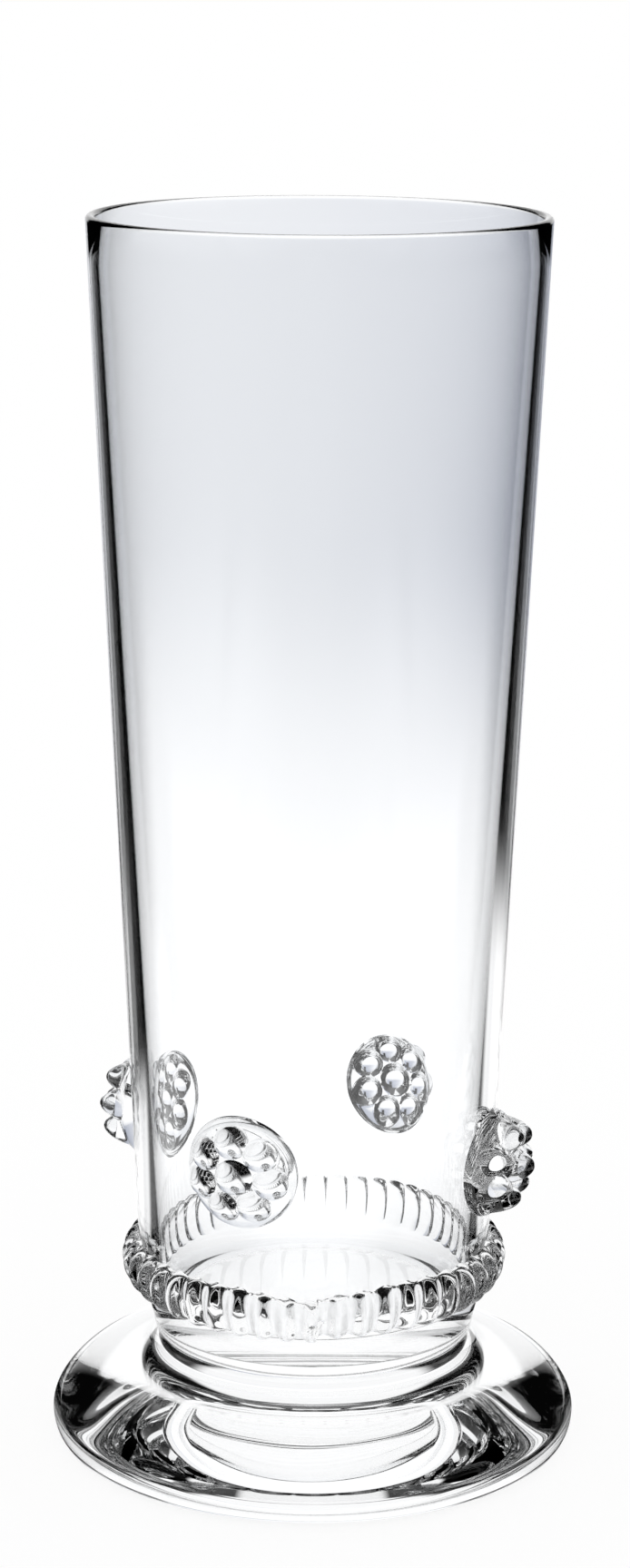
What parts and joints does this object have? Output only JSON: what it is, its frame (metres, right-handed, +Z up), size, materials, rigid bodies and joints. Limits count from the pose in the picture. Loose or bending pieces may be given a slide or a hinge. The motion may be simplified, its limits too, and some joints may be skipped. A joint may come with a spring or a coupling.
{
  "type": "stemless champagne glass",
  "caption": "Tall clear flared drinking glass on a wide crowned foot, with raspberry prunts and a ribbed trail round the bowl's base, for serving sparkling wine.",
  "frame": {"origin": "centre of the foot's flat underside, on the surface the glass stands on", "axes": "+Z up along the axis of the glass, -Y towards the front, +X to the right seen from the front"},
  "size_m": [0.0712, 0.0712, 0.165],
  "materials": {
    "bowl_glass": "clear blown glass, fire-polished",
    "foot_glass": "clear thick glass, fire-polished",
    "trail_glass": "clear glass, milled into ribs",
    "prunt_glass": "clear glass, stamped into knobs"
  },
  "bodies": {
    "root": {"bowl": "bowl_glass", "foot": "foot_glass", "trail_band": "trail_glass", "prunt_left": "prunt_glass", "prunt_front": "prunt_glass", "prunt_right": "prunt_glass", "prunt_back": "prunt_glass"}
  },
  "joints": []
}
